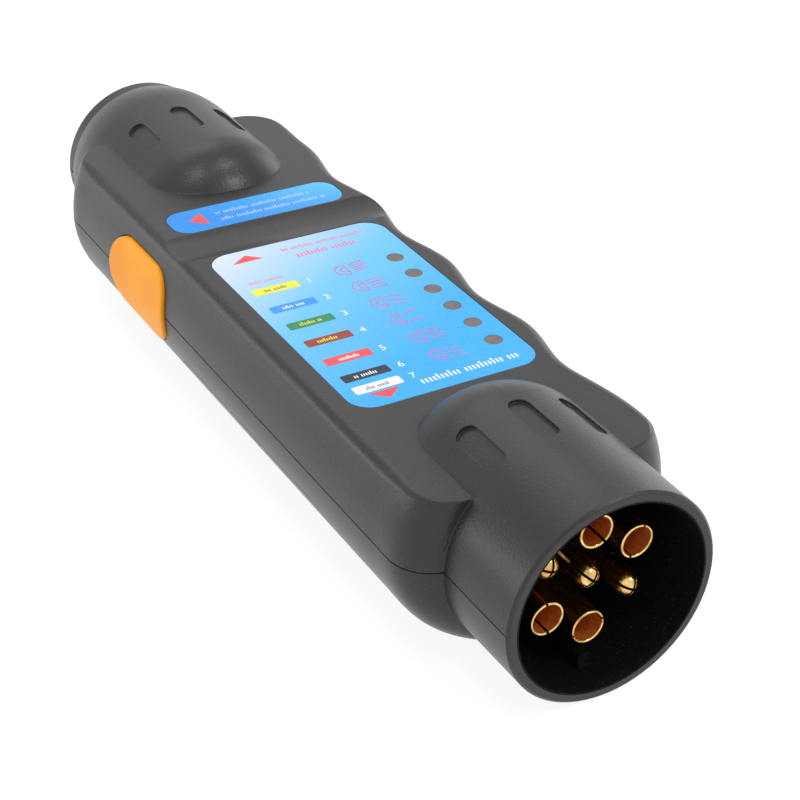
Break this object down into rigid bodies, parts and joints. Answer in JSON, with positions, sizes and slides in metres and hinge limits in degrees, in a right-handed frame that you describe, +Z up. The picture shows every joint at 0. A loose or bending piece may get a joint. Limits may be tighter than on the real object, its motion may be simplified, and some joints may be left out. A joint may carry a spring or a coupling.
{
  "type": "towing circuit tester",
  "caption": "Hand-held tester for trailer lamp circuits, with a contact socket at one end, a plug at the other, a row of lamps and a side button.",
  "frame": {"origin": "middle of the footprint on the flat underside", "axes": "+Z up through the label deck, +Y along the connector axis towards the plug end, +X towards the finger scallops"},
  "size_m": [0.0588, 0.2072, 0.0439],
  "materials": {
    "battery_case": "plain jacket",
    "board_green": "solder mask",
    "button_orange": "glossy moulded",
    "contact_brass": "turned",
    "end_label": "printed film",
    "housing_black": "fine satin moulding",
    "insulator_black": "plain moulded",
    "led_lens": "smoked lens",
    "main_label": "printed film",
    "plunger_white": "moulded",
    "resistor_tan": "coated",
    "screw_steel": "plated",
    "snap_black": "soft moulded",
    "switch_black": "moulded",
    "wire_black": "insulation",
    "wire_blue": "insulation",
    "wire_brown": "insulation",
    "wire_green": "insulation",
    "wire_red": "insulation",
    "wire_white": "insulation",
    "wire_yellow": "insulation"
  },
  "bodies": {
    "housing": {"battery": "battery_case", "battery_lead_negative": "wire_black", "battery_lead_positive": "wire_red", "battery_snap": "snap_black", "board_screws": "screw_steel", "bottom_shell": "housing_black", "circuit_board": "board_green", "end_label": "end_label", "housing_screws": "screw_steel", "led_1": "led_lens", "led_2": "led_lens", "led_3": "led_lens", "led_4": "led_lens", "led_5": "led_lens", "led_6": "led_lens", "main_label": "main_label", "plug_carrier": "insulator_black", "plug_pin_1": "contact_brass", "plug_pin_2": "contact_brass", "plug_pin_4": "contact_brass", "plug_pin_5": "contact_brass", "plug_tube_3": "contact_brass", "plug_tube_6": "contact_brass", "plug_tube_7": "contact_brass", "plug_wire_1": "wire_yellow", "plug_wire_2": "wire_blue", "plug_wire_3": "wire_white", "plug_wire_4": "wire_green", "plug_wire_5": "wire_brown", "plug_wire_6": "wire_red", "plug_wire_7": "wire_black", "resistors": "resistor_tan", "socket_carrier": "insulator_black", "socket_pin_3": "contact_brass", "socket_pin_6": "contact_brass", "socket_pin_7": "contact_brass", "socket_tube_1": "contact_brass", "socket_tube_2": "contact_brass", "socket_tube_4": "contact_brass", "socket_tube_5": "contact_brass", "socket_wire_1": "wire_yellow", "socket_wire_2": "wire_blue", "socket_wire_3": "wire_white", "socket_wire_4": "wire_green", "socket_wire_5": "wire_brown", "socket_wire_6": "wire_red", "socket_wire_7": "wire_black", "switch_body": "switch_black", "top_shell": "housing_black"},
    "button": {"power_button": "button_orange"},
    "plunger": {"switch_plunger": "plunger_white"},
    "door": {"battery_door": "housing_black"}
  },
  "joints": [
    {"name": "button_press", "type": "slide", "parent": "housing", "child": "button", "axis": [1, 0, 0], "range_m": [0, 0.001], "stiffness_N_per_m": 1200, "springref_m": -0.001},
    {"name": "plunger_press", "type": "slide", "parent": "housing", "child": "plunger", "axis": [1, 0, 0], "range_m": [0, 0.001]},
    {"name": "door_release", "type": "slide", "parent": "housing", "child": "door", "axis": [0, 0, -1], "range_m": [0, 0.03]}
  ],
  "couplings": [
    {"joint": "plunger_press", "follows": "button_press", "ratio": 1}
  ]
}
